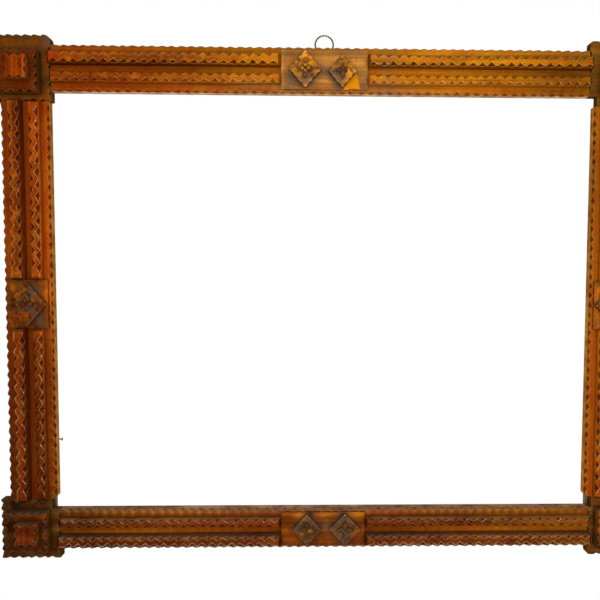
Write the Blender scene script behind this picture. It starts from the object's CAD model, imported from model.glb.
"""Looks of a chip-carved picture frame in layered wood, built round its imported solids.

Lengths are in metres. X runs across the front, Y from the front to the wall and Z up.
"""

import math
import random
from collections import namedtuple
from functools import cache

import bmesh
import bpy
from mathutils import Matrix, Vector, noise


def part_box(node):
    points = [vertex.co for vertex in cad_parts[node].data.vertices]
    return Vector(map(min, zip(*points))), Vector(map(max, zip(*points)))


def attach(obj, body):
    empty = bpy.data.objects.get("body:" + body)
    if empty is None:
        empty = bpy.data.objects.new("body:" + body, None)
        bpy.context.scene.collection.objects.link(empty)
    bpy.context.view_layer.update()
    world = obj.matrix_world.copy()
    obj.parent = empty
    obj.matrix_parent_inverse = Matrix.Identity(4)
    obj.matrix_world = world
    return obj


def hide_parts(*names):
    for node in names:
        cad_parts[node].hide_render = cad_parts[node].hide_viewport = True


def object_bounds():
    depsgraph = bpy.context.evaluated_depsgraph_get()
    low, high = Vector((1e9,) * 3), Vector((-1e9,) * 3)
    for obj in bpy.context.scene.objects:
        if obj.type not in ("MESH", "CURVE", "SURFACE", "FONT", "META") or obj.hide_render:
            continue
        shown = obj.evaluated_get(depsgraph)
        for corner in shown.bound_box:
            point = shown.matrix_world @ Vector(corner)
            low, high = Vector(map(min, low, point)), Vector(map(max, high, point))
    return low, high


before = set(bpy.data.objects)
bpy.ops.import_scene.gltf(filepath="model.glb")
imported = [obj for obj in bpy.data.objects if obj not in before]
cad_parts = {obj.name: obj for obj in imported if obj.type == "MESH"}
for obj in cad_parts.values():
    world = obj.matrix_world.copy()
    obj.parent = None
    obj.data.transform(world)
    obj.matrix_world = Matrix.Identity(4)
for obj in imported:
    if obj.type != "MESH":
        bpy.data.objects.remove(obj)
cad_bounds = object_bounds()

# Chip cuts, as the solids have them
BOARD_PITCH = 0.0092
STILE_STRIP_PITCH = 0.0112
CORNER_PITCH = 0.0081
DIAMOND_PITCH = 0.006
CHIP_LAND = 0.0006
JOINT_GAP = 0.0002
CHIP_IN = 0.003
STRIP_CHIP_IN = 0.0038
BOARD_CHIP_BACK = 0.004
STRIP_CHIP_BACK = 0.004
DIAMOND_CHIP_IN = 0.0014
DIAMOND_CHIP_BACK = 0.0018
# How the knife's cuts differ: in half width, where they bottom out, in size and in length back
HALF_RANGE = (0.97, 1.0)
VALLEY_RANGE = (-0.3, 0.3)
SIZE_RANGE = (0.8, 1.1)
BACK_RANGE = (0.85, 1.05)
# How far corner plates are cut back from their stile's inner edge, past the rail
CUT_BACK = {"top_right": 0.0025, "bottom_left": 0.005, "bottom_right": 0.007}
SHOULDER = {"top_left": 0.006, "top_right": 0.003, "bottom_left": 0.001, "bottom_right": 0.003}
STILE_CHAMFER = 0.0025

# Hand work: how far pieces depart from true, always into the wood
WEAR = 0.00022
SOFT_ARRIS = 0.0004
UNEVEN = 0.00035
CORNER_SOFT = 0.0007
# How much of that a corner point moves in, and how much more it wears
POINT_IN, POINT_WORN = 0.35, 1.5
# Waves of a hand-planed face, for each metre
SLOW_WAVES, QUICK_WAVES = 45, 190
SLOW_PART, QUICK_PART = 0.55, 0.25
# How much of a cut an arris softens at most, and how deep in the edge it may reach
SOFT_SHARE, DEEPEST = 0.3, 0.9
# How an arris eases out on the face, in shares of its softness
EASE_IN, EASE_DOWN, EASE_OUT = 0.35, 0.3, 1.2
STATION_STEP = 0.0025
GRID_STEP = 0.0008
FACE_SHARES = (0.2, 0.4, 0.6, 0.8)
SEED = 7
SALT_RANGE = (0, 50)
# Smallest steps: in a count of cuts, between stations, and between points that aren't one
TINY = 1e-6
CLOSEST = 1e-5
SAME_POINT = 1e-7
SMOOTH_BELOW = math.radians(40)

# Material numbers within each carved piece
FACE, CUT, WORN, SIDE = range(4)


class ChipRow:
    """A row of V cuts along an edge; every cut differs a little, as knife work does."""

    def __init__(self, rng, start, end, pitch, inward, backward, fewer=0):
        count = int((end - start - 2 * CHIP_LAND) / pitch + TINY) - fewer
        half = (pitch - CHIP_LAND) / 2
        self.chips = []
        for k in range(count):
            centre = (start + end) / 2 + (k - (count - 1) / 2) * pitch
            left = centre - half * rng.uniform(*HALF_RANGE)
            right = centre + half * rng.uniform(*HALF_RANGE)
            valley = centre + half * rng.uniform(*VALLEY_RANGE)
            size = rng.uniform(*SIZE_RANGE)
            back = backward * size * rng.uniform(*BACK_RANGE)
            self.chips.append((left, valley, right, inward * size, back))

    def places(self):
        """Where the cuts start, bottom out and end."""
        return [s for chip in self.chips for s in chip[:3]]

    def depth(self, s):
        """How far the arris is cut in across the face and back down the edge at a place."""
        for left, valley, right, inward, back in self.chips:
            if left < s < right:
                share = (s - left) / (valley - left) if s < valley else (right - s) / (right - valley)
                return inward * share, back * share
        return 0.0, 0.0


def arris_profile(inward, back, thick, wear, rubbed=0.0):
    """Section of an edge from its back corner to the face, as (inset, depth) points.

    rubbed is how wide the face is rubbed along the arris, at least.
    """
    a, b = max(inward, wear), max(back, wear)
    run = math.hypot(a, b)
    soft = min(SOFT_ARRIS, run * SOFT_SHARE)
    step = (soft * a / run, soft * b / run)
    wide = max(soft, rubbed)
    return [
        (0.0, thick),
        (0.0, min(b + soft, thick * DEEPEST)),
        (step[0], b - step[1]),
        (a - step[0], step[1]),
        (a + wide * EASE_IN, step[1] * EASE_DOWN),
        (a + wide * EASE_OUT, 0.0),
    ]


# Material of each stretch between two neighbouring profile points
PROFILE_MATERIALS = [SIDE, WORN, CUT, WORN, WORN]


def held(value):
    """A value held between 0 and 1."""
    return min(1.0, max(0.0, value))


def undulation(x, z, salt):
    """Slow unevenness of a hand-planed face, from 0 to 1."""
    slow = noise.noise(Vector((x * SLOW_WAVES, salt, z * SLOW_WAVES)))
    quick = noise.noise(Vector((x * QUICK_WAVES, salt + 9, z * QUICK_WAVES)))
    return held(0.5 + SLOW_PART * slow + QUICK_PART * quick)


def start_piece(node):
    """A node's box, its own random numbers and its own place in the noise."""
    rng = random.Random(f"{SEED} {node}")
    return *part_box(node), rng, rng.uniform(*SALT_RANGE)


def merged(places, start, end):
    """Sorted places with fill between them, and none doubled."""
    fill = max(1, math.ceil((end - start) / STATION_STEP))
    wanted = sorted([*places, *(start + (end - start) * k / fill for k in range(fill + 1))])
    kept = []
    for s in wanted:
        if start <= s <= end and (not kept or s - kept[-1] > CLOSEST):
            kept.append(s)
    return kept


def quad(level, j, count):
    """The face from point j to the next, between a ring of count points and the ring after it."""
    k = (j + 1) % count
    near, far = level * count, (level + 1) * count
    return near + j, near + k, far + k, far + j


def fan(level, count, tip):
    """The faces between a ring of count points and a point within it."""
    first = level * count
    return [(first + j, first + (j + 1) % count, tip) for j in range(count)]


def linked(name, data):
    """A new object in the scene."""
    thing = bpy.data.objects.new(name, data)
    bpy.context.scene.collection.objects.link(thing)
    return thing


def put_in_place(node, verts, faces, numbers, materials, salt):
    """Puts a carved piece in its solid's place, with its varnish tones as attributes."""
    name = f"carved_{node}"
    mesh = bpy.data.meshes.new(name)
    mesh.from_pydata(verts, [], faces)
    mesh.polygons.foreach_set("material_index", numbers)
    for material in materials:
        mesh.materials.append(material)
    work = bmesh.new()
    work.from_mesh(mesh)
    bmesh.ops.remove_doubles(work, verts=work.verts, dist=SAME_POINT)
    bmesh.ops.recalc_face_normals(work, faces=work.faces)
    work.to_mesh(mesh)
    work.free()
    mesh.polygons.foreach_set("use_smooth", [True] * len(mesh.polygons))
    mesh.set_sharp_from_angle(angle=SMOOTH_BELOW)
    found = [{"piece": salt, **tones(v.co)} for v in mesh.vertices]
    for key in found[0]:
        attribute = mesh.attributes.new(key, "FLOAT", "POINT")
        attribute.data.foreach_set("value", [tone[key] for tone in found])
    piece = linked(name, mesh)
    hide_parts(node)
    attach(piece, "frame")


# Where the varnish is golden rather than red: centre x and z, spread x and z in mm, amount
GOLD_SPOTS = [
    # Top rail
    (90, -30, 130, 50, 0.7), (-60, -30, 80, 50, 0.3), (240, -40, 80, 60, 0.35),
    (-60, -54, 60, 4, 0.15), (0, -17.5, 230, 3, 0.35), (-75, -37.5, 35, 3, 0.4),
    (230, -55, 50, 4, -0.25),
    # Its plate and diamonds
    (30, -31, 9, 4, 0.5), (22, -39, 3, 4, 0.5), (2, -49, 9, 6, 0.4),
    (-39.6, -41, 1.6, 18, 0.5), (0.6, -50, 7, 5, 0.3), (-17.8, -24, 3, 3, 0.5),
    (-12.7, -32, 3, 3, 0.5), (-20, -39, 3, 3, 0.5), (12.5, -27, 3, 3, 0.5),
    # Bottom rail
    (-170, -464.5, 110, 3.5, 0.85), (170, -464.5, 110, 3.5, 0.85),
    (-170, -481, 110, 3.5, 0.75), (170, -481, 110, 3.5, 0.75), (240, -480, 70, 15, 0.25),
    # Its plate and diamonds
    (-23, -467, 7, 6, 0.6), (2, -467, 7, 6, 0.5), (33, -466, 9, 5, 0.6),
    (-12.7, -480.4, 2, 2, 0.6), (-20, -484, 2, 1.5, 0.6),
    # Stiles
    (290, -220, 60, 200, 0.3), (-257, -230, 4, 60, 0.2), (-264, -400, 4, 80, 0.15),
    # Left plate
    (-262, -246, 5, 10, 0.25), (-290, -247, 6, 9, 0.3), (-286, -272, 12, 9, -0.3),
    # Left tiles
    (-280, -474, 12, 11, -0.5), (-282, -40, 9, 9, -0.15),
]
# Where the varnish is lighter or darker than elsewhere, in the same terms
LIGHT_SPOTS = [
    # Top rail
    (100, -30, 120, 50, 0.25), (-50, -30, 80, 50, 0.15), (250, -40, 60, 30, -0.25),
    (0, -17.5, 230, 3, 0.2), (-75, -37.5, 35, 3, 0.45), (130, -30, 70, 4, 0.2),
    (230, -55, 45, 5, -0.33), (230, -38.5, 45, 4, -0.4),
    # Its plate
    (-39.6, -41, 1.6, 18, 0.6), (0.6, -50, 7, 5, 0.4), (38, -40, 4, 12, 0.2),
    (0, -20, 60, 3, -0.3), (2, -49, 9, 6, 0.35), (3, -27, 9, 7, 0.2),
    (30, -26, 13, 0.7, -0.5), (30, -31, 9, 3, 0.2), (-36, -22, 6, 3, -0.2),
    (-37, -49, 5, 6, 0.15), (-28, -27, 6, 5, -0.2),
    # Its diamonds and their shadows
    (-17.8, -24, 3, 3, 0.3), (-12.7, -32, 3, 3, 0.8), (-20, -39, 3, 3, 0.8),
    (12.5, -27, 3, 3, 0.5), (16, -42, 7, 6, -0.45), (22, -39, 3, 3, 0.35),
    (-32, -44, 3.5, 3, -0.5), (-27.5, -48, 3.5, 3, -0.5), (-23, -51.5, 3, 2.5, -0.5),
    (3, -39, 3.5, 3, -0.5), (7, -44, 3, 3.5, -0.5), (11, -49, 3, 3, -0.5),
    (-17, -50.8, 0.9, 2.2, 2.0), (15.6, -35.5, 0.9, 1.8, 2.0),
    (-15.5, -42.4, 6, 2.5, -0.6), (15, -37, 3, 3, -0.5),
    # Bottom rail
    (-200, -490, 240, 40, -0.5), (150, -490, 240, 40, -0.46), (240, -490, 70, 8, -0.2),
    (-170, -465, 110, 3, 0.5), (170, -465, 110, 3, 0.5),
    (-170, -482, 110, 3.5, 1.1), (170, -482, 110, 3.5, 1.1),
    # Its plate and diamonds
    (-23, -468, 7, 4, 0.3), (0, -468, 6, 4, 0.15), (33, -467, 8, 4, 0.25),
    (-12.7, -480.4, 2, 2, 1.6), (-20, -484, 2, 1.5, 1.6), (-12.8, -465, 4, 3.5, -0.6),
    (19.5, -466, 4, 3.5, -0.6), (-32, -490, 8, 7, 0.5), (4, -491, 8, 6, 0.5),
    (36, -490, 7, 7, 0.4),
    # Stiles
    (-254, -200, 6, 140, 0.55), (-265, -170, 6, 100, 0.25), (-290, -420, 80, 140, -0.45),
    (-290, -300, 30, 60, -0.2), (-300, -60, 60, 9, -0.1), (-264, -400, 4, 80, 0.25),
    (-300, -410, 5, 70, -0.5), (-267, -170, 7, 60, 0.25), (264, -120, 5, 60, -0.2),
    # Left plate
    (-263, -247, 5, 9, 0.6), (-265, -258, 8, 4, 0.6), (-273, -272, 5, 8, -0.5),
    (-290, -274, 6, 7, 0.1),
    # Corners
    (-300, -20, 50, 50, -0.2), (-268, -40, 4, 18, -0.45), (-277, -40, 1.2, 8, -0.7),
    (-282.4, -46, 2.5, 7, 0.35), (-272.5, -40, 2, 9, 0.5), (-285, -15.5, 30, 2.5, 0.35),
    (-275, -482, 30, 30, 0.15), (-276, -480, 4, 5, -0.2), (275, -482, 30, 30, 0.2),
    (300, -490, 50, 50, -0.05),
]
# Where grey dirt dulls it, in the same terms
GREY_SPOTS = [
    # Top rail
    (60, -35, 10, 20, 0.2), (-60, -54, 30, 4, 0.3), (60, -54, 40, 4, 0.3),
    (55, -55, 13, 4, 0.35),
    # Its plate and diamonds
    (-29, -47, 5, 6, 0.5), (-2.3, -35, 5, 6, 0.35), (-17, -47, 8, 5, 0.7),
    (13, -43, 8, 7, 0.8), (14, -52, 6, 4, 0.6), (20, -20, 14, 3, 0.35),
    (37, -44, 5, 10, 0.2), (-38, -50, 8, 8, 0.15), (-30, -22, 14, 3, 0.4),
    (-17, -50.8, 1, 2.2, 0.9), (15.6, -35.5, 1, 2, 0.9), (-35, -40, 4, 8, 0.3),
    (4, -40, 5, 4, 0.5),
    # Bottom rail
    (0, -461.5, 230, 1.6, 0.45),
    # Its plate and diamonds
    (-12.8, -470, 9, 7, 0.25), (20.5, -470, 9, 7, 0.35), (4, -479, 5, 5, 0.5),
    (20.5, -484, 8, 9, 0.3), (-26, -480, 4, 3, 0.5),
    # Left plate and diamond
    (-277, -247, 4, 7, 0.7), (-273, -273, 4, 8, 0.4), (-279, -263, 3, 4, 0.6),
    # Top left corner plate's shoulder
    (-258, -12, 6, 7, 0.7),
]
# Where the arrises are rubbed paler than elsewhere, in the same terms
RUB_SPOTS = [
    # Top rail
    (70, -30, 60, 10, 0.4), (-70, -48, 40, 5, 0.5), (-85, -50.5, 40, 2.5, 1.6),
    (60, -34.9, 25, 2.5, 1.8), (85, -50.5, 45, 2.5, 1.2),
    # Bottom rail
    (-60, -499, 200, 4, 1.2), (0, -477, 300, 3, -0.9),
    # Left stile
    (-301, -200, 4, 120, 0.6), (-301, -420, 4, 60, 0.5), (-292, -230, 4, 200, 0.6),
    (-270, -150, 5, 60, 0.9), (-276.5, -420, 2.5, 70, -0.9), (-284, -420, 2.5, 70, -0.4),
    (-268.2, -430, 2.5, 60, -0.5),
]
# A bare golden split in the top plate
SPLIT = [(29.9, -35.9), (17.3, -55.8), (34.2, -54.8)]
SPLIT_DEPTH = 0.0008
# Gold away from all spots, and the least light in them
PLAIN_GOLD = 0.04
LEAST_LIGHT = 0.15
# House dust lies below this height and fades out above it, and left of this place it lies thinly
DUST_BELOW = -0.448
DUST_FADE = 0.008
THIN_DUST_LEFT_OF = -0.285
THIN_DUST = 0.35
# The top rail lies above this height
TOP_RAIL_FROM = -0.066
TOP_RAIL_FADE = 0.006


def spotted(co, spots):
    """Sum of soft round spots at a place."""
    total = 0.0
    for x, z, wide, high, amount in spots:
        across, along = (co.x * 1000 - x) / wide, (co.z * 1000 - z) / high
        total += amount * math.exp(-across ** 2 - along ** 2)
    return total


def in_split(co):
    """Whether a place lies in the golden split."""
    x, z = co.x * 1000, co.z * 1000
    for (x0, z0), (x1, z1) in zip(SPLIT, SPLIT[1:] + SPLIT[:1]):
        if (x1 - x0) * (z - z0) - (z1 - z0) * (x - x0) < 0:
            return False
    return True


def tones(co):
    """What the materials read at a vertex."""
    split = in_split(co)
    dusty = held((DUST_BELOW - co.z) / DUST_FADE)
    return {
        "gold": held(PLAIN_GOLD + spotted(co, GOLD_SPOTS)),
        "light": max(LEAST_LIGHT, 1.0 + spotted(co, LIGHT_SPOTS)),
        "grey": 0.0 if split else held(spotted(co, GREY_SPOTS)),
        "rub": 1.0 + spotted(co, RUB_SPOTS),
        "bare": 1.0 if split else 0.0,
        "dusty": max(dusty, THIN_DUST if co.x < THIN_DUST_LEFT_OF else 0.0),
        "top": held((co.z - TOP_RAIL_FROM) / TOP_RAIL_FADE),
    }


# Which of a strip's two chip rows, low and high, has one chip fewer and so stands half a pitch on
STAGGER = {"top": (0, 1), "bottom": (1, 0), "left": (1, 0), "right": (0, 1)}
# How long a strip's ends are bevelled, and how far down for each metre of that
END_BEVEL = 0.0022
BEVEL_DROP = 1.3
# How wide some strips' faces are rubbed along their low and high arrises
RUBBED_WIDE = {
    "bottom_outer": (0.0011, 0.0), "left_outer": (0.0010, 0.0004), "right_outer": (0.0004, 0.0010),
    "left_inner": (0.0003, 0.0007), "top_outer": (0.0, 0.0009), "bottom_rail": (0.0009, 0.0),
}


def carved_bar(node, pitch, inward, backward, materials, chamfered=None):
    """A long flat bar with chips along both its long front arrises.

    chamfered is the side, 0 or 1, whose lower corner is cut off.
    """
    low, high, rng, salt = start_piece(node)
    size = high - low
    along = 0 if size.x > size.z else 2
    across = 2 - along
    start, end = low[along], high[along]
    is_strip = "_strip_" in node
    fewer = STAGGER[node.split("_")[0]] if is_strip else (0, 0)
    rubbed = RUBBED_WIDE.get(node.split("_strip_")[0], (0.0, 0.0))
    rows = [ChipRow(rng, start, end, pitch, inward, backward, less) for less in fewer]
    places = rows[0].places() + rows[1].places()
    if is_strip:
        places += [start + END_BEVEL, end - END_BEVEL]
    stations = merged(places, start, end)
    verts = []

    def place(s, c, depth):
        point = [0.0, low.y + depth, 0.0]
        point[along], point[across] = s, c
        return point

    for s in stations:
        at_end = s in (start, end)
        cut_off = [0.0, 0.0]
        if chamfered is not None:
            cut_off[chamfered] = max(0.0, STILE_CHAMFER - (s - start))
        edge_low = low[across] + cut_off[0]
        edge_high = high[across] - cut_off[1]
        sections = []
        for side, row in enumerate(rows):
            wear = WEAR * (1 + undulation(s, side, salt)) * (2 if at_end else 1)
            sections.append(arris_profile(*row.depth(s), size.y, wear, rubbed[side]))
        ring = [place(s, edge_low + inset, depth) for inset, depth in sections[0]]
        inner_low = edge_low + sections[0][-1][0]
        inner_high = edge_high - sections[1][-1][0]
        for share in FACE_SHARES:
            c = inner_low + (inner_high - inner_low) * share
            dip = UNEVEN * undulation(s, c, salt)
            ring.append(place(s, c, dip + (WEAR if at_end else 0)))
        ring += [place(s, edge_high - inset, depth) for inset, depth in reversed(sections[1])]
        bevel = max(0.0, END_BEVEL - min(s - start, end - s)) if is_strip else 0.0
        ring = [(x, min(high.y, max(y, low.y + BEVEL_DROP * bevel)), z) for x, y, z in ring]
        verts.extend(ring)
    count = len(ring)
    bands = PROFILE_MATERIALS + [FACE] * (len(FACE_SHARES) + 1) + PROFILE_MATERIALS[::-1] + [SIDE]
    faces, numbers = [], []
    for i, (here, there) in enumerate(zip(stations, stations[1:])):
        middle = (here + there) / 2
        in_bevel = is_strip and min(middle - start, end - middle) < END_BEVEL
        for j, band in enumerate(bands):
            faces.append(quad(i, j, count))
            numbers.append(CUT if in_bevel and band != SIDE else band)
    faces += [tuple(range(count)), tuple(range(len(verts) - count, len(verts)))]
    numbers += [SIDE, SIDE]
    put_in_place(node, verts, faces, numbers, materials, salt)


def outline_stations(outline, chipped, rng, pitch, inward, backward):
    """Stations round an outline that runs anticlockwise seen from the front.

    Each is a place, the inward direction there and how far the arris is cut in and back.
    """
    count = len(outline)
    ends = [Vector(p) for p in outline]
    runs = [(ends[(i + 1) % count] - ends[i]) for i in range(count)]
    inwards = [Vector((-run.y, run.x)).normalized() for run in runs]
    stations = []
    for i, run in enumerate(runs):
        length = run.length
        direction = run / length
        row = ChipRow(rng, 0, length, pitch, inward, backward) if i in chipped else None
        places = row.places() if row else []
        trim = min(CORNER_SOFT, length / 4)
        for s in merged(places, trim, length - trim):
            cut = row.depth(s) if row else (0.0, 0.0)
            stations.append((ends[i] + direction * s, inwards[i], *cut))
        following = inwards[(i + 1) % count]
        mitre = (inwards[i] + following) / (1 + inwards[i].dot(following))
        convex = direction.cross(runs[(i + 1) % count]) > 0
        corner = ends[(i + 1) % count] + mitre * (CORNER_SOFT * POINT_IN if convex else 0)
        stations.append((corner, mitre, WEAR * POINT_WORN, WEAR * POINT_WORN))
    return stations


# Rings of a plate's face, as shares of its reach from the middle
PLATE_SHARES = (0.85, 0.6, 0.35)


def carved_plate(node, outline, chipped, pitch, inward, backward, materials):
    """A flat plate with chips along the listed edges of its outline."""
    low, high, rng, salt = start_piece(node)
    thick = high.y - low.y
    centre = Vector(((low.x + high.x) / 2, (low.z + high.z) / 2))
    stations = outline_stations(outline, chipped, rng, pitch, inward, backward)
    rings = [[] for _ in range(len(PROFILE_MATERIALS) + 1)]
    for where, inwards, a, b in stations:
        wear = WEAR * (1 + undulation(where.x, where.y, salt))
        for ring, (inset, depth) in zip(rings, arris_profile(a, b, thick, wear)):
            p = where + inwards * inset
            ring.append((p.x, low.y + depth, p.y))
    rim = [Vector((p[0], p[2])) - centre for p in rings[-1]]
    for share in PLATE_SHARES:
        ring = []
        for offset in rim:
            p = centre + offset * share
            dip = UNEVEN * undulation(p.x, p.y, salt) * (1 - share)
            ring.append((p.x, low.y + dip, p.y))
        rings.append(ring)
    count = len(stations)
    verts = [p for ring in rings for p in ring]
    faces, numbers = [], []
    for level, band in enumerate(PROFILE_MATERIALS + [FACE] * len(PLATE_SHARES)):
        for j in range(count):
            faces.append(quad(level, j, count))
            numbers.append(band)
    faces += fan(len(rings) - 1, count, len(verts))
    numbers += [FACE] * count
    verts.append((centre.x, low.y + UNEVEN / 2, centre.y))
    faces.append(tuple(range(count)))
    numbers.append(SIDE)
    put_in_place(node, verts, faces, numbers, materials, salt)


# How much more uneven the plates under the diamonds are
PLATE_UNEVEN = 2.2


def sculpted_plate(node, materials):
    """A thin plate whose face is uneven all over, as a fine grid."""
    low, high, _, salt = start_piece(node)
    wide = math.ceil((high.x - low.x) / GRID_STEP)
    tall = math.ceil((high.z - low.z) / GRID_STEP)
    verts, faces = [], []
    for i in range(wide + 1):
        for j in range(tall + 1):
            x = low.x + (high.x - low.x) * i / wide
            z = low.z + (high.z - low.z) * j / tall
            rim = i in (0, wide) or j in (0, tall)
            dip = PLATE_UNEVEN * UNEVEN * undulation(x, z, salt) + (WEAR / 2 if rim else 0)
            if in_split(Vector((x, 0, z))):
                dip += SPLIT_DEPTH * (x - low.x) / (high.x - low.x)
            verts.append((x, low.y + dip, z))
    column = tall + 1
    for i in range(wide):
        for j in range(tall):
            at = i * column + j
            faces.append((at, at + column, at + column + 1, at + 1))
    numbers = [FACE] * len(faces)
    rim = [*range(0, wide * column + 1, column), *range(wide * column + 1, wide * column + column)]
    rim += [*range((wide - 1) * column + tall, -1, -column), *range(tall - 1, 0, -1)]
    back = len(verts)
    verts += [(verts[at][0], high.y, verts[at][2]) for at in rim]
    for k, at in enumerate(rim):
        following = (k + 1) % len(rim)
        faces.append((at, rim[following], back + following, back + k))
    faces.append(tuple(range(back, back + len(rim))))
    numbers += [SIDE] * (len(rim) + 1)
    put_in_place(node, verts, faces, numbers, materials, salt)


# Points round a rosette, and its rings as shares of its reach from the middle
ROSETTE_POINTS = 64
ROSETTE_SHARES = (1.0, 0.93, 0.8, 0.66, 0.5, 0.36, 0.24, 0.12)
# How far its waist reaches, against its knobs, and how much less beside a knob that is broken off
WAIST, BROKEN = 0.6, 0.25
# Where the knobs and the core stand, as shares of the reach, and how wide
KNOB_AT, KNOB_WIDE = 0.68, 0.2
CORE_AT, CORE_WIDE = 0.3, 0.14
# Depth of the ground, the rim and the middle in shares of the thickness, and what rises from them
GROUND, KNOB_RISE, CORE_RISE = 0.8, 0.75, 0.55
RIM, RIM_RISE = 0.75, 0.2
MIDDLE = 0.7
# Below this share of a knob's height round the star, the wood is cut away
CUT_FROM = 0.45


def rosette(node, materials, arms):
    """A star of four knobs cut out of a small diamond; arms tells how long each one still is."""
    low, high, _, salt = start_piece(node)
    centre = (low + high) / 2
    half_x, half_z = (high.x - low.x) / 2, (high.z - low.z) / 2
    thick = high.y - low.y
    count = ROSETTE_POINTS
    verts = []
    for level, share in enumerate((1.0, *ROSETTE_SHARES)):
        for k in range(count):
            turn = 2 * math.pi * k / count
            point = abs(math.cos(2 * turn))
            arm = arms[round(turn / (math.pi / 2)) % 4]
            edge = 1 / (abs(math.cos(turn)) / half_x + abs(math.sin(turn)) / half_z)
            reach = edge * (WAIST + ((1 - WAIST) * arm - BROKEN * (1 - arm)) * point)
            x = centre.x + share * reach * math.cos(turn)
            z = centre.z + share * reach * math.sin(turn)
            knob = math.exp(-((share - KNOB_AT) / KNOB_WIDE) ** 2) * point
            core = math.exp(-((share - CORE_AT) / CORE_WIDE) ** 2)
            depth = thick * (GROUND - KNOB_RISE * knob - CORE_RISE * core * (1 - knob))
            depth += UNEVEN * (undulation(x, z, salt) - 0.5)
            if level == 0:
                depth = thick
            elif level == 1:
                depth = thick * (RIM - RIM_RISE * point)
            verts.append((x, low.y + min(thick, max(0.0, depth)), z))
    faces, numbers = [], []
    for level in range(len(ROSETTE_SHARES)):
        for k in range(count):
            faces.append(quad(level, k, count))
            point = abs(math.cos(4 * math.pi * (k + 0.5) / count))
            if level == 0:
                numbers.append(SIDE)
            elif point < CUT_FROM or level == len(ROSETTE_SHARES) - 1:
                numbers.append(CUT)
            else:
                numbers.append(WORN if level in (1, 3) else FACE)
    faces += fan(len(ROSETTE_SHARES), count, len(verts))
    numbers += [CUT] * count
    verts.append((centre.x, low.y + thick * MIDDLE, centre.z))
    faces.append(tuple(range(count)))
    numbers.append(SIDE)
    put_in_place(node, verts, faces, numbers, materials, salt)


# How long each knob of a rosette still is: towards +X, up, -X and down
WHOLE_ARMS = (1.0, 1.0, 1.0, 1.0)
ARMS = {
    "top_diamond_cap_left": (1.0, 1.0, 0.8, 0.9),
    "top_diamond_cap_right": (0.5, 0.9, 0.7, 1.0),
    "left_diamond_cap": (0.3, 0.9, 0.6, 0.2),
}


def box_outline(node):
    """The four corners of a node's box, anticlockwise seen from the front."""
    low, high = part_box(node)
    return [(low.x, low.z), (high.x, low.z), (high.x, high.z), (low.x, high.z)]


def diamond_outline(node):
    """The four points of a diamond node."""
    low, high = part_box(node)
    x, z = (low.x + high.x) / 2, (low.z + high.z) / 2
    return [(high.x, z), (x, high.z), (low.x, z), (x, low.z)]


def corner_outline(corner):
    """A corner plate's outline with its round shoulder and its cut-back, and its chipped edges."""
    upright, sideways = corner.split("_")
    z_side, x_side = int(upright == "top"), int(sideways == "right")
    out_x, out_z = 2 * x_side - 1, 2 * z_side - 1
    plate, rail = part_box(f"corner_plate_{corner}"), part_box(f"{upright}_rail")
    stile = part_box(f"{sideways}_stile")
    inner_x, outer_x = plate[1 - x_side].x, plate[x_side].x
    inner_z, outer_z = plate[1 - z_side].z, plate[z_side].z
    left_x = cut_x = inner_x
    if corner in CUT_BACK:
        cut_x = stile[1 - x_side].x + out_x * CUT_BACK[corner]
        left_x = rail[x_side].x + out_x * JOINT_GAP
    r = SHOULDER[corner]
    points = [(cut_x, inner_z), (outer_x, inner_z), (outer_x, outer_z)]
    for turn in range(90, 181, 15):
        bend = math.radians(turn)
        x = left_x + out_x * r * (1 + math.cos(bend))
        points.append((x, outer_z - out_z * r * (1 - math.sin(bend))))
    edges = [0, 1, 2, len(points) - 1]
    if corner in CUT_BACK:
        rail_z = rail[1 - z_side].z
        points += [(left_x, rail_z), (cut_x, rail_z)]
    if out_x * out_z < 0:
        points = [points[0], *points[:0:-1]]
        edges = [len(points) - 1 - e for e in edges]
    return points, edges


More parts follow.
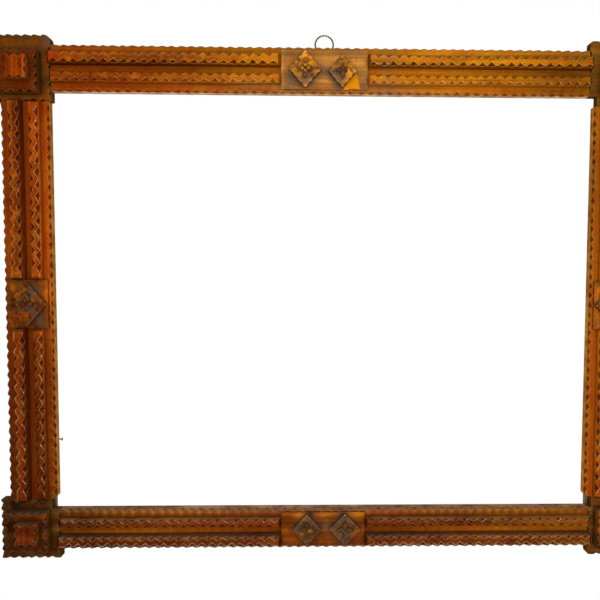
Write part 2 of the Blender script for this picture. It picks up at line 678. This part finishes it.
class Graph:
    """Short calls for building the nodes of a material or of the world."""

    def __init__(self, holder):
        self.holder = holder
        holder.use_nodes = True
        self.tree = holder.node_tree
        self.tree.nodes.clear()

    def add(self, kind, inputs=None, **settings):
        """A node with its settings, and its inputs as values or as links."""
        node = self.tree.nodes.new("ShaderNode" + kind)
        for key, value in settings.items():
            setattr(node, key, value)
        for key, value in (inputs or {}).items():
            if isinstance(value, bpy.types.NodeSocket):
                self.tree.links.new(value, node.inputs[key])
            else:
                node.inputs[key].default_value = value
        return node

    def math(self, operation, a, b=0.0, c=0.0, clamp=False):
        return self.add("Math", {0: a, 1: b, 2: c}, operation=operation, use_clamp=clamp).outputs[0]

    def times(self, a, b, clamp=False):
        return self.math("MULTIPLY", a, b, clamp=clamp)

    def noise(self, vector, scale, detail=3.0, roughness=0.55, distortion=0.0):
        inputs = {"Vector": vector, "Scale": scale, "Detail": detail, "Roughness": roughness}
        return self.add("TexNoise", {**inputs, "Distortion": distortion}).outputs[0]

    def spread(self, value, low, high, to_low=0.0, to_high=1.0):
        """Maps a value's range to another, held at its ends."""
        inputs = {"Value": value, "From Min": low, "From Max": high, "To Min": to_low, "To Max": to_high}
        return self.add("MapRange", inputs, clamp=True).outputs[0]

    def scaled(self, vector, scale):
        """A place stretched along each axis."""
        return self.add("VectorMath", {0: vector, 1: scale}, operation="MULTIPLY").outputs[0]

    def grey(self, value):
        """A number as a colour without hue."""
        return self.add("CombineXYZ", {0: value, 1: value, 2: value}).outputs[0]

    def mix(self, share, a, b, blend="MIX"):
        node = self.add("Mix", {0: share, 6: a, 7: b}, data_type="RGBA", blend_type=blend)
        return node.outputs[2]

    def ramp(self, value, stops):
        node = self.add("ValToRGB", {0: value})
        stretch = node.color_ramp.elements
        while len(stretch) < len(stops):
            stretch.new(0.5)
        for element, (place, colour) in zip(stretch, stops):
            element.position = place
            element.color = (*colour, 1)
        return node.outputs[0]

    def open_air(self):
        """How open a place is, from hollows at 0 to free faces at 1."""
        return self.add("AmbientOcclusion", {"Distance": DIRT_REACH}, samples=DIRT_RAYS).outputs["AO"]

    def bump(self, height, strength, distance):
        return self.add("Bump", {"Height": height, "Strength": strength, "Distance": distance}).outputs[0]

    def finish(self, shader, kind="OutputMaterial"):
        self.add(kind, {"Surface": shader})
        return self.holder


def new_material(name):
    return Graph(bpy.data.materials.new(name))


def rgb(*parts):
    return (*parts, 1.0)


# A varnished wood: its linear colour at the red and at the golden end, its darkest and lightest
# streak against that, and how far at most its arrises are rubbed pale, orange flecks glow in it,
# olive stains dull it and its arrises glisten
Wood = namedtuple("Wood", "red golden streaks rubbed flecked stained coat")
WOODS = {
    "board": Wood(rgb(0.27, 0.040, 0.0012), rgb(0.50, 0.18, 0.004), (0.5, 1.35), 0.35, 0, 0, 0),
    "inner": Wood(rgb(0.26, 0.033, 0.0015), rgb(0.60, 0.22, 0.004), (0.4, 1.45), 0.5, 0.55, 0, 0.2),
    "strip": Wood(rgb(0.25, 0.034, 0.0015), rgb(0.66, 0.24, 0.004), (0.4, 1.45), 0.5, 0.55, 0, 0.12),
    "corner": Wood(rgb(0.155, 0.037, 0.0020), rgb(0.32, 0.13, 0.012), (0.4, 1.4), 0.2, 0, 0.45, 0),
    "block": Wood(rgb(0.18, 0.026, 0.0010), rgb(0.34, 0.10, 0.006), (0.3, 1.4), 0.2, 0.15, 0.15, 0),
    "tile": Wood(rgb(0.27, 0.036, 0.0010), rgb(0.42, 0.10, 0.006), (0.2, 1.7), 0.35, 0.35, 0.25, 0),
    "plate_top": Wood(rgb(0.26, 0.100, 0.020), rgb(0.40, 0.165, 0.028), (0.5, 1.3), 0.1, 0, 0, 0),
    "plate_bottom": Wood(
        rgb(0.24, 0.045, 0.0015), rgb(0.46, 0.145, 0.002), (0.4, 1.4), 0.1, 0.25, 0, 0,
    ),
    "plate_side": Wood(rgb(0.21, 0.036, 0.0015), rgb(0.48, 0.17, 0.010), (0.3, 1.5), 0.1, 0.5, 0.6, 0),
    "diamond_top": Wood(
        rgb(0.26, 0.095, 0.020), rgb(0.64, 0.235, 0.006), (0.3, 1.5), 0.5, 0.4, 0.3, 0.5,
    ),
    "diamond_bottom": Wood(
        rgb(0.19, 0.052, 0.008), rgb(0.62, 0.22, 0.004), (0.25, 1.6), 0.5, 0, 0.4, 0.5,
    ),
    "diamond_side": Wood(
        rgb(0.20, 0.040, 0.0020), rgb(0.50, 0.18, 0.010), (0.3, 1.6), 0.6, 0.6, 0.6, 0.3,
    ),
}
DIRT = rgb(0.020, 0.0055, 0.0010)
DUST = rgb(0.13, 0.095, 0.060)
CORNER_DUST = rgb(0.085, 0.056, 0.022)
RED_DUST = rgb(0.11, 0.030, 0.004)
OLIVE_DUST = rgb(0.46, 0.20, 0.008)
PALE_DUST = rgb(0.38, 0.25, 0.095)
BARE_GOLD = rgb(0.72, 0.25, 0.001)
GOLDEN_DUST = rgb(0.50, 0.25, 0.025)
OLIVE = rgb(0.095, 0.050, 0.010)
GREY = rgb(0.135, 0.085, 0.055)
BLAZE = rgb(0.62, 0.145, 0.002)
REDDEN = rgb(1.0, 0.55, 0.4)
UNDERSIDE = rgb(0.050, 0.028, 0.020)
PALE = rgb(0.70, 0.34, 0.080)
# Stretch of fine and broad streaks along each grain
GRAIN_SCALE = {"x": ((9, 300, 300), (4, 60, 60)), "z": ((300, 300, 9), (60, 60, 4))}
# Noise in the wood: scale, detail, roughness and distortion
FIBRES = (1.0, 5.0, 0.65, 0.3)
BANDS = (1.0, 3.0, 0.5, 0.6)
BLOTCHES = (60.0, 4.0, 0.6)
FINE_RELIEF = (420.0, 2.0)
# Patches of noise: scale, detail, roughness, and the two levels between which they fade in
REDS = (38.0, 3.0, 0.6, 0.5, 0.62)
BLAZES = (110.0, 3.0, 0.55, 0.55, 0.68)
STAINS = (130.0, 3.0, 0.5, 0.47, 0.62)
RUBS = (260.0, 3.0, 0.55, 0.38, 0.62)
PITS = (240.0, 3.0, 0.6, 0.5, 0.62)
SCUFFS = (330.0, 2.0, 0.5, 0.58, 0.68)
PORES = (700.0, 2.0, 0.5, 0.62, 0.72)
SHEENS = (220.0, 3.0, 0.55, 0.3, 0.7)
# How strong they are at most
MOST_RED, MOST_PITTED, MOST_SCUFFED, MOST_PORES = 0.45, 0.75, 0.55, 0.6
LEAST_RUBBED = 0.05
# How olive the walls of the corner pieces are
OLIVE_WALLS = {"corner": 0.5, "block": 0.5, "tile": 0.35}
# Dust on walls that face up and aren't grey
LEDGE_DUST = {("inner", SIDE): rgb(0.43, 0.18, 0.040)}
# How light the uncut side walls are, against the face
PLAIN_WALL = 0.7
WALL_LIGHT = {("inner", "x"): 1.1, ("inner", "z"): 1.8, ("strip", "x"): 0.6}
# Share of the face's gold on the side walls of the outer strips
WALL_GOLD = 0.5
# Most and least roughness of each part of a carved piece
ROUGHNESS = {FACE: (0.36, 0.24), CUT: (0.6, 0.4), WORN: (0.32, 0.2), SIDE: (0.7, 0.5)}
# How light the cuts are against the face, and how much lighter those of the top rail
CUT_LIGHT = 0.42
TOP_CUTS = {"board": 0.3, "inner": 0.3}
# How far dirt darkens the undersides of the cuts
PLAIN_UNDER_DIRT = 0.1
UNDER_DIRT = {"strip": 0.6, "corner": 0.4, "block": 0.5, "tile": 0.4}
# How far off dirt gathers beside a wall, and how strong it is at most, on arrises and elsewhere
DIRT_REACH = 0.006
DIRT_RAYS = 6
ARRIS_GRIME, GRIME = 0.4, 0.85
# Height of the grain's relief, on carved and on plain faces
DEEP_RELIEF, RELIEF = 0.0009, 0.0004
COAT_ROUGHNESS = 0.09
PART_NAMES = {FACE: "face", CUT: "cut", WORN: "worn", SIDE: "side"}
# How strongly each part reflects
SHINE = {FACE: 0.04, CUT: 0.02, WORN: 0.06, SIDE: 0.0}


class Varnish(Graph):
    """Old varnish on one part of a carved piece; its steps take a colour and return the next."""

    def __init__(self, wood, grain, part):
        super().__init__(bpy.data.materials.new(f"{wood}_{PART_NAMES[part]}_{grain}"))
        self.wood, self.grain, self.part = wood, grain, part
        self.looks = WOODS[wood]
        salt = self.grey(self.field("piece"))
        place = self.add("TexCoord").outputs["Object"]
        self.place = self.add("VectorMath", {0: place, 1: salt}, operation="ADD").outputs[0]
        fine, broad = GRAIN_SCALE[grain]
        self.fibres = self.noise(self.scaled(self.place, fine), *FIBRES)
        self.bands = self.noise(self.scaled(self.place, broad), *BANDS)
        self.blotches = self.noise(self.place, *BLOTCHES)
        self.light = self.field("light")
        gold = self.math("ADD", self.field("gold"), self.blotched(0.3, 0.7, -0.16, 0.2), clamp=True)
        on_wall = part == SIDE and wood == "strip"
        self.gold = self.times(gold, WALL_GOLD) if on_wall else gold
        self.facing = self.add("SeparateXYZ", {0: self.add("NewGeometry").outputs["Normal"]}).outputs

    def field(self, name):
        """One of the tones kept at the vertices."""
        return self.add("Attribute", attribute_name=name).outputs["Fac"]

    def patches(self, pattern, most, least=0.0):
        """Noise that fades in from the least to the most."""
        scale, detail, roughness, low, high = pattern
        return self.spread(self.noise(self.place, scale, detail, roughness), low, high, least, most)

    def blotched(self, low, high, to_low, to_high):
        """The broad blotches, mapped to another range."""
        return self.spread(self.blotches, low, high, to_low, to_high)

    def streaked(self):
        """Red to golden varnish with the wood's streaks."""
        both = self.math("ADD", self.times(self.fibres, 0.5), self.times(self.bands, 0.5))
        tone = self.times(self.spread(both, 0.36, 0.64, *self.looks.streaks), self.light)
        if self.part == CUT:
            on_top = TOP_CUTS.get(self.wood, 0.0)
            tone = self.times(tone, self.math("MULTIPLY_ADD", self.field("top"), on_top, CUT_LIGHT))
        if self.part == SIDE:
            tone = self.times(tone, WALL_LIGHT.get((self.wood, self.grain), PLAIN_WALL))
        plain = self.mix(self.gold, self.looks.red, self.looks.golden)
        return self.mix(1.0, plain, self.grey(tone), "MULTIPLY")

    def glowing(self, colour):
        """Redder patches, and orange flecks where it isn't dark."""
        redder = self.mix(1.0, colour, REDDEN, "MULTIPLY")
        colour = self.mix(self.patches(REDS, MOST_RED), colour, redder)
        if self.looks.flecked:
            bright = self.spread(self.light, 0.5, 0.95, 0.1, 1.0)
            blaze = self.times(self.patches(BLAZES, self.looks.flecked), bright)
            colour = self.mix(blaze, colour, BLAZE)
        return colour

    def rubbed(self, colour):
        """Arrises rubbed pale, most of all on the flank that the light catches."""
        dusty = self.field("dusty")
        flank = self.facing[2] if self.grain == "z" else self.times(self.facing[0], -1.0)
        lit = self.math("MAXIMUM", self.spread(flank, -0.1, 0.25, 0.25, 1.1), dusty)
        rub = self.patches(RUBS, self.looks.rubbed, LEAST_RUBBED)
        share = self.times(rub, self.times(self.field("rub"), lit), clamp=True)
        return self.mix(share, colour, self.mix(dusty, PALE, PALE_DUST))

    def battered(self, colour):
        """Dark undersides, pits and scuffs of a diamond."""
        on_stile = self.wood == "diamond_side"
        colour = self.mix(self.spread(self.facing[2], -0.55, -0.1, 0.85, 0.0), colour, UNDERSIDE)
        colour = self.mix(self.patches(PITS, MOST_PITTED), colour, DIRT if on_stile else UNDERSIDE)
        scuffed = self.mix(self.gold, RED_DUST if on_stile else DUST, GOLDEN_DUST)
        return self.mix(self.patches(SCUFFS, MOST_SCUFFED), colour, scuffed)

    def grimy(self, colour):
        """Dark pores, and dirt in the hollows."""
        colour = self.mix(self.patches(PORES, MOST_PORES), colour, DIRT)
        most = ARRIS_GRIME if self.part == WORN else GRIME
        grime = self.spread(self.open_air(), 0.35, 0.95, most, 0.0)
        grime = self.times(grime, self.blotched(0.3, 0.65, 0.6, 1.0))
        return self.mix(grime, colour, DIRT)

    def dusty_cut(self, colour):
        """Dirt under the cuts and dust on them, where they face up."""
        most_under = UNDER_DIRT.get(self.wood, PLAIN_UNDER_DIRT)
        colour = self.mix(self.spread(self.facing[2], -0.35, -0.1, most_under, 0.0), colour, DIRT)
        lean = self.math("MULTIPLY_ADD", self.facing[0], 0.5, self.facing[2])
        dust = self.times(self.spread(lean, 0.3, 1.1), self.spread(self.facing[2], 0.0, 0.25))
        dust = self.times(dust, self.blotched(0.35, 0.65, 0.5, 1.0))
        if self.wood in OLIVE_WALLS:
            return self.mix(dust, colour, CORNER_DUST)
        on_rail = self.mix(self.field("top"), RED_DUST, OLIVE_DUST)
        plain = self.mix(self.field("dusty"), on_rail, DUST)
        return self.mix(dust, colour, self.mix(self.gold, plain, GOLDEN_DUST))

    def dusty_ledge(self, colour):
        """Dust on other parts, where they face up."""
        dust = self.times(self.spread(self.facing[2], 0.1, 0.7), self.blotched(0.35, 0.65, 0.15, 0.6))
        ledge = LEDGE_DUST.get((self.wood, self.part), GREY)
        return self.mix(dust, colour, OLIVE if self.part == FACE else ledge)

    def surface(self, colour):
        """The finished material, with the grain's relief and gloss."""
        height = self.math("ADD", self.times(self.fibres, 0.4), self.times(self.blotches, 1.2))
        height = self.math("ADD", height, self.times(self.noise(self.place, *FINE_RELIEF), 0.5))
        carved = self.wood.startswith(("diamond", "plate_side"))
        return self.finish(self.add("BsdfPrincipled", {
            "Base Color": colour,
            "Roughness": self.patches(SHEENS, *ROUGHNESS[self.part]),
            "Normal": self.bump(height, 0.6, DEEP_RELIEF if carved else RELIEF),
            "Specular IOR Level": SHINE[self.part],
            "Coat Weight": self.looks.coat if self.part == WORN else 0.0,
            "Coat Roughness": COAT_ROUGHNESS,
        }).outputs[0])


def varnished(wood, grain, part):
    """Varnished wood: part is FACE, CUT, WORN or SIDE."""
    varnish = Varnish(wood, grain, part)
    colour = varnish.streaked()
    if part in (FACE, WORN):
        colour = varnish.glowing(colour)
    if varnish.looks.stained:
        colour = varnish.mix(varnish.patches(STAINS, varnish.looks.stained), colour, OLIVE)
    colour = varnish.mix(varnish.field("grey"), colour, GREY)
    if part == WORN:
        colour = varnish.rubbed(colour)
    if part == FACE and wood == "plate_top":
        colour = varnish.mix(varnish.field("bare"), colour, BARE_GOLD)
    if part == SIDE and wood in OLIVE_WALLS:
        colour = varnish.mix(OLIVE_WALLS[wood], colour, OLIVE)
    if wood.startswith("diamond"):
        colour = varnish.battered(colour)
    colour = varnish.grimy(colour)
    colour = varnish.dusty_cut(colour) if part == CUT else varnish.dusty_ledge(colour)
    return varnish.surface(colour)


# Dull and pale colours of the edges round the opening: top rail, stiles and bottom rail
TOP_EDGE = (rgb(0.46, 0.24, 0.110), rgb(0.78, 0.51, 0.31))
STILE_EDGE = (rgb(0.34, 0.12, 0.012), rgb(0.62, 0.27, 0.040))
BOTTOM_EDGE = (rgb(0.22, 0.090, 0.040), rgb(0.46, 0.24, 0.13))


def board_edge(grain):
    """The boards' thin edges round the opening: pale worn varnish with darker patches."""
    g = new_material(f"board_edge_{grain}")
    place = g.add("TexCoord").outputs["Object"]
    blotches = g.noise(place, 90.0, 4.0, 0.6)
    wear = g.spread(blotches, 0.35, 0.62)
    if grain == "z":
        colour = g.mix(wear, *STILE_EDGE)
    else:
        top = g.add("Attribute", attribute_name="top").outputs["Fac"]
        colour = g.mix(top, g.mix(wear, *BOTTOM_EDGE), g.mix(wear, *TOP_EDGE))
    fibres = g.noise(g.scaled(place, GRAIN_SCALE[grain][0]), 1.0, 4.0, 0.6)
    streaks = g.grey(g.spread(fibres, 0.35, 0.6, 0.55, 1.15))
    return g.finish(g.add("BsdfPrincipled", {
        "Base Color": g.mix(1.0, colour, streaks, "MULTIPLY"),
        "Roughness": g.spread(blotches, 0.3, 0.7, 0.45, 0.7),
        "Normal": g.bump(blotches, 0.5, RELIEF),
        "Specular IOR Level": 0.0,
    }).outputs[0])


@cache
def wood_set(wood, grain):
    """The materials of a carved piece, by material number."""
    side = board_edge(grain) if wood == "board" else varnished(wood, grain, SIDE)
    return [*(varnished(wood, grain, part) for part in (FACE, CUT, WORN)), side]


# Browns of the bare wood on the back, by the level of its fibres, and its stains
BACK_BROWNS = [
    (0.3, (0.10, 0.055, 0.025)),
    (0.5, (0.24, 0.15, 0.08)),
    (0.7, (0.36, 0.25, 0.15)),
]
BACK_STAIN = rgb(0.10, 0.065, 0.04)
BACK_STRETCH = {"x": (25, 300, 300), "z": (300, 300, 25)}


def bare_wood(grain):
    """Old unvarnished wood on the back: brown with age, with stains and dirt."""
    g = new_material(f"bare_back_wood_{grain}")
    place = g.add("TexCoord").outputs["Object"]
    fibres = g.noise(g.scaled(place, BACK_STRETCH[grain]), 1.0, 5.0, 0.6)
    stains = g.spread(g.noise(place, 18.0, 4.0, 0.6), 0.42, 0.68, 0.0, 0.6)
    colour = g.mix(stains, g.ramp(fibres, BACK_BROWNS), BACK_STAIN)
    height = g.math("ADD", fibres, g.times(g.noise(place, 500.0, 2.0), 0.4))
    return g.finish(g.add("BsdfPrincipled", {
        "Base Color": g.mix(g.spread(g.open_air(), 0.35, 0.95, 0.7, 0.0), colour, DIRT),
        "Roughness": g.spread(fibres, 0.3, 0.7, 0.7, 0.9),
        "Normal": g.bump(height, 0.7, RELIEF),
    }).outputs[0])


# Each metal's bright and dark colour, its mottle's scale, its least and most roughness, its nodes
METALS = {
    "ring_brass": (rgb(0.30, 0.20, 0.09), rgb(0.09, 0.06, 0.03), 900.0, 0.3, 0.55, ["hanging_ring"]),
    "strap_tin": (rgb(0.42, 0.40, 0.36), rgb(0.22, 0.15, 0.10), 500.0, 0.4, 0.7, ["hanger_strap"]),
    "nail_iron": (
        rgb(0.20, 0.17, 0.14), rgb(0.10, 0.05, 0.03), 1200.0, 0.45, 0.75, ["hanger_tacks", "back_nails"],
    ),
    "brad_brass": (rgb(0.55, 0.33, 0.09), rgb(0.30, 0.15, 0.04), 900.0, 0.4, 0.6, ["glazing_brad"]),
}


def metal(name):
    """Tarnished metal with mottled colour and gloss."""
    bright, dark, scale, least, most, _ = METALS[name]
    g = new_material(name)
    mottle = g.noise(g.add("TexCoord").outputs["Object"], scale, 4.0, 0.65)
    return g.finish(g.add("BsdfPrincipled", {
        "Base Color": g.mix(g.spread(mottle, 0.38, 0.62), dark, bright),
        "Metallic": 1.0,
        "Roughness": g.spread(mottle, 0.35, 0.65, most, least),
        "Normal": g.bump(mottle, 0.4, 0.0002),
    }).outputs[0])


def build_boards():
    for node in ("top_rail", "bottom_rail"):
        carved_bar(node, BOARD_PITCH, CHIP_IN, BOARD_CHIP_BACK, wood_set("board", "x"))
    for node, inner in (("left_stile", 1), ("right_stile", 0)):
        carved_bar(node, BOARD_PITCH, CHIP_IN, BOARD_CHIP_BACK, wood_set("board", "z"), inner)


def build_strips():
    for node in sorted(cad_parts):
        if "_strip_" not in node:
            continue
        wood = "inner" if "inner" in node else "strip"
        on_rail = node.startswith(("top", "bottom"))
        pitch, grain = (BOARD_PITCH, "x") if on_rail else (STILE_STRIP_PITCH, "z")
        carved_bar(node, pitch, STRIP_CHIP_IN, STRIP_CHIP_BACK, wood_set(wood, grain))


def build_corners():
    def carve(node, outline, edges, materials):
        carved_plate(node, outline, edges, CORNER_PITCH, CHIP_IN, BOARD_CHIP_BACK, materials)

    for corner in ("top_left", "top_right", "bottom_left", "bottom_right"):
        carve(f"corner_plate_{corner}", *corner_outline(corner), wood_set("corner", "x"))
        for wood, grain in (("block", "x"), ("tile", "z")):
            node = f"corner_{wood}_{corner}"
            carve(node, box_outline(node), range(4), wood_set(wood, grain))


def build_middles():
    for side in ("top", "bottom"):
        sculpted_plate(f"centre_plate_{side}", wood_set(f"plate_{side}", "x"))
    for side in ("left", "right"):
        sculpted_plate(f"centre_plate_{side}", wood_set("plate_side", "z"))
    for node in sorted(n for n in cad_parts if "_diamond_" in n):
        side = node.split("_")[0]
        materials = wood_set(f"diamond_{side if side in ('top', 'bottom') else 'side'}", "x")
        if "_diamond_cap" in node:
            rosette(node, materials, ARMS.get(node, WHOLE_ARMS))
        else:
            outline = diamond_outline(node)
            carved_plate(
                node, outline, range(4), DIAMOND_PITCH, DIAMOND_CHIP_IN, DIAMOND_CHIP_BACK, materials,
            )


def finish_solids():
    """Materials of the solids that stay as they are."""
    finishes = [(metal(name), METALS[name][-1]) for name in METALS]
    finishes.append((bare_wood("x"), ["back_slip_top", "back_slip_bottom"]))
    finishes.append((bare_wood("z"), ["back_slip_left", "back_slip_right"]))
    for material, nodes in finishes:
        for node in nodes:
            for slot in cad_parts[node].material_slots:
                slot.material = material


# Camera: standing in front of the frame, a little right of its middle and below it
CAMERA_PLACE = (-0.01042, -0.68534, -0.22511)
CAMERA_YAW, CAMERA_PITCH, CAMERA_ROLL = -0.02487, -0.06226, 0.00379
CAMERA_LENS = 41.41
CAMERA_SHIFT = (-0.05, 0.02)
SENSOR_WIDTH = 36
NEAREST, FARTHEST = 0.01, 100


def add_camera():
    data = bpy.data.cameras.new("camera")
    data.sensor_width = SENSOR_WIDTH
    data.lens = CAMERA_LENS
    data.shift_x, data.shift_y = CAMERA_SHIFT
    data.clip_start, data.clip_end = NEAREST, FARTHEST
    camera = linked("camera", data)
    turn = Matrix.Rotation(CAMERA_YAW, 4, "Z")
    turn @= Matrix.Rotation(math.pi / 2 + CAMERA_PITCH, 4, "X") @ Matrix.Rotation(CAMERA_ROLL, 4, "Z")
    camera.matrix_world = Matrix.Translation(CAMERA_PLACE) @ turn
    bpy.context.scene.camera = camera


# Key lamp: a soft square beside the camera that faces the frame's middle
KEY_PLACE = (0.04, -1.0, -0.27)
KEY_TARGET = (0.0, 0.0, -0.27)
KEY_SIZE = 0.25
KEY_POWER = 9.0


def add_key_lamp():
    data = bpy.data.lights.new("key", "AREA")
    data.size = KEY_SIZE
    data.energy = KEY_POWER
    lamp = linked("key", data)
    lamp.location = KEY_PLACE
    lamp.rotation_mode = "QUATERNION"
    lamp.rotation_quaternion = (Vector(KEY_TARGET) - Vector(KEY_PLACE)).to_track_quat("-Z", "Y")


# How bright the room is behind the camera, its wall behind the frame and its ceiling
ROOM_LIGHT = 0.05
BACKDROP_LIGHT = 0.9
CEILING_LIGHT = 0.3
# Between which directions, from level to straight, the wall's and the ceiling's light grow
BACKDROP_RISE = (0.1, 0.95)
CEILING_RISE = (0.1, 0.9)


def add_world():
    """A white wall's light from behind the frame and a dim room's from before it."""
    g = Graph(bpy.data.worlds.new("studio"))
    _, back, up = g.add("SeparateXYZ", {0: g.add("TexCoord").outputs["Generated"]}).outputs
    wall = g.spread(back, *BACKDROP_RISE, ROOM_LIGHT, BACKDROP_LIGHT)
    room = g.math("ADD", wall, g.spread(up, *CEILING_RISE, 0.0, CEILING_LIGHT))
    seen = g.add("LightPath").outputs["Is Camera Ray"]
    strength = g.math("MAXIMUM", room, seen)
    background = g.add("Background", {"Color": rgb(1, 1, 1), "Strength": strength}).outputs[0]
    bpy.context.scene.world = g.finish(background, "OutputWorld")


# Floor: how far below the frame, how far back it ends and how far it reaches to the other sides
FLOOR_DROP = 0.35
FLOOR_EDGE_Y = 0.5
FLOOR_REACH = 5.0
FLOOR_COLOUR = rgb(0.8, 0.79, 0.77)
# How much of the white glow the camera sees on it
FLOOR_GLOW = 0.7


def add_floor():
    """A pale floor well below the frame."""
    z = cad_bounds[0].z - FLOOR_DROP
    near, far, side = -FLOOR_REACH, FLOOR_EDGE_Y, FLOOR_REACH
    corners = [(-side, near, z), (side, near, z), (side, far, z), (-side, far, z)]
    mesh = bpy.data.meshes.new("floor")
    mesh.from_pydata(corners, [], [(0, 1, 2, 3)])
    g = new_material("pale_floor")
    seen = g.add("LightPath").outputs["Is Camera Ray"]
    matt = g.add("BsdfDiffuse", {"Color": FLOOR_COLOUR}).outputs[0]
    glow = g.add("Emission", {"Color": rgb(1, 1, 1), "Strength": 1.0}).outputs[0]
    share = g.times(seen, FLOOR_GLOW)
    mesh.materials.append(g.finish(g.add("MixShader", {0: share, 1: matt, 2: glow}).outputs[0]))
    floor = linked("floor", mesh)


bpy.context.scene.view_settings.view_transform = "Standard"
add_camera()
add_world()
add_floor()
add_key_lamp()
build_boards()
build_strips()
build_corners()
build_middles()
finish_solids()
bpy.context.view_layer.update()
